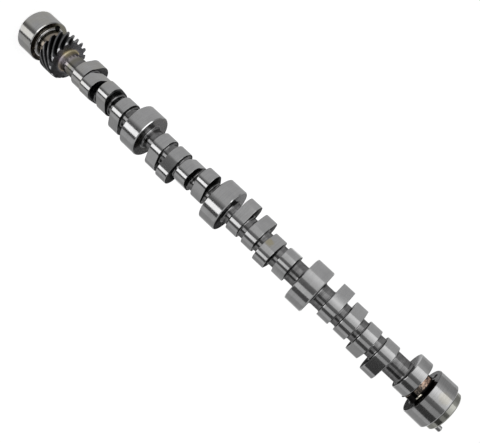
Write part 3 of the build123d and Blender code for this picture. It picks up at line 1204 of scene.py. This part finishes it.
def glow(name, strength, direction=0.0, middle=0.0):
    """A plain light, whose strength may be a rule over the bearing and the height."""
    graph = Surface(name)
    if callable(strength):
        x, y, z = graph.where()
        low = radians(middle) - pi
        bearing = (y.turn_from(x) - direction).wrap(low + FULL_TURN, low)
        strength = strength(bearing * (180 / pi), z * MM)
    return graph.made_of("ShaderNodeEmission", {"Strength": strength})


def only_seen_by(obj, *rays):
    """Leaves the object visible to these kinds of ray alone."""
    for ray in ("camera", "diffuse", "glossy", "transmission", "volume_scatter", "shadow"):
        setattr(obj, f"visible_{ray}", ray in rays)


def curved_card(name, radius, direction, strength, rows):
    """A tall card that stands round the shaft."""
    columns = 12
    across = columns + 1
    points, faces = [], []
    for z, first, last in rows:
        for column in range(across):
            turn = direction + radians(first + (last - first) * column / columns)
            points.append((radius * cos(turn), radius * sin(turn), z))
    for row in range(len(rows) - 1):
        for low in range(row * across, row * across + columns):
            faces.append((low, low + 1, low + across + 1, low + across))
    mesh = bpy.data.meshes.new(name)
    mesh.from_pydata(points, [], faces)
    mesh.materials.append(glow(name, strength, direction, (rows[0][1] + rows[0][2]) / 2))
    card = stand(name, mesh)
    only_seen_by(card, "glossy")


class CAMSHAFT_OT_studio(bpy.types.Operator):
    """Lays the pale floor and sets up the backdrop, the lights and the camera"""

    bl_idname = "camshaft.studio"
    bl_label = "Studio"

    def execute(self, context):
        scene = context.scene
        studio = scene.camshaft_studio
        self.floor(studio)
        self.lights(scene, studio)
        self.camera(scene, studio)
        scene.view_settings.view_transform = "Standard"
        return {"FINISHED"}

    def floor(self, studio):
        size = studio.floor_size
        bpy.ops.mesh.primitive_circle_add(vertices=96, radius=size, fill_type="NGON")
        floor = bpy.context.object
        floor.name = "floor"
        sockets = {
            "Base Color": (0.9, 0.9, 0.9, 1),
            "Roughness": 0.9,
            "Emission Color": (1, 1, 1, 1),
            "Emission Strength": 0.66,
        }
        pale = Surface("pale floor").made_of("ShaderNodeBsdfPrincipled", sockets)
        floor.data.materials.append(pale)
        floor.visible_glossy = False
        bpy.ops.mesh.primitive_uv_sphere_add(segments=64, ring_count=32, radius=size * 1.01)
        dome = bpy.context.object
        dome.name = "backdrop"
        dome.data.materials.append(glow("white backdrop", 1.02))
        only_seen_by(dome, "camera")

    def lights(self, scene, studio):
        world = bpy.data.worlds.new("studio")
        scene.world = world
        world.use_nodes = True
        sockets = world.node_tree.nodes["Background"].inputs
        sockets["Color"].default_value = (0.45, 0.45, 0.452, 1)
        sockets["Strength"].default_value = 1.0
        for name, share, strength, rows in CARDS:
            radius = studio.card_distance * share
            curved_card(name, radius, studio.direction, strength, rows)

    def camera(self, scene, studio):
        data = bpy.data.cameras.new("camera")
        data.lens = studio.lens
        data.clip_start, data.clip_end = 0.01, 50
        camera = stand("camera", data)
        outwards = Vector((cos(studio.direction), sin(studio.direction), 0))
        camera.location = outwards * studio.distance + Vector((0, 0, studio.height))
        looks = -outwards * cos(studio.pitch) - Vector((0, 0, sin(studio.pitch)))
        looks.rotate(Matrix.Rotation(studio.heading, 3, "Z"))
        level = looks.to_track_quat("-Z", "Y").to_matrix()
        turned = level @ Matrix.Rotation(studio.roll, 3, "Z")
        camera.rotation_euler = turned.to_euler()
        scene.camera = camera


class CAMSHAFT_PT_panel(bpy.types.Panel):
    """Lists the pieces and their sizes"""

    bl_idname = "CAMSHAFT_PT_panel"
    bl_label = "Camshaft"
    bl_space_type = "VIEW_3D"
    bl_region_type = "UI"
    bl_category = "Camshaft"

    def draw(self, context):
        layout = self.layout
        for operator in OPERATORS:
            layout.operator(operator.bl_idname)
        for name in GROUPS:
            box = layout.box()
            box.label(text=name.removeprefix("camshaft_").capitalize())
            group = getattr(context.scene, name)
            for key in group.__annotations__:
                box.prop(group, key, text=key.replace("_", " ").capitalize())


GROUPS = {
    "camshaft_shaft": ShaftSizes,
    "camshaft_lobes": LobeSizes,
    "camshaft_gear": GearSizes,
    "camshaft_front": FrontSizes,
    "camshaft_colours": SteelColours,
    "camshaft_studio": StudioSettings,
}
OPERATORS = (CAMSHAFT_OT_shaft, CAMSHAFT_OT_dowel, CAMSHAFT_OT_studio)
CLASSES = (*GROUPS.values(), *OPERATORS, CAMSHAFT_PT_panel)


def register():
    for made in CLASSES:
        bpy.utils.register_class(made)
    for name, group in GROUPS.items():
        setattr(bpy.types.Scene, name, bpy.props.PointerProperty(type=group))


def unregister():
    for name in GROUPS:
        delattr(bpy.types.Scene, name)
    for made in reversed(CLASSES):
        bpy.utils.unregister_class(made)


def main():
    register()
    bpy.ops.camshaft.shaft()
    bpy.ops.camshaft.dowel()
    bpy.ops.camshaft.studio()


if __name__ == "__main__":
    main()
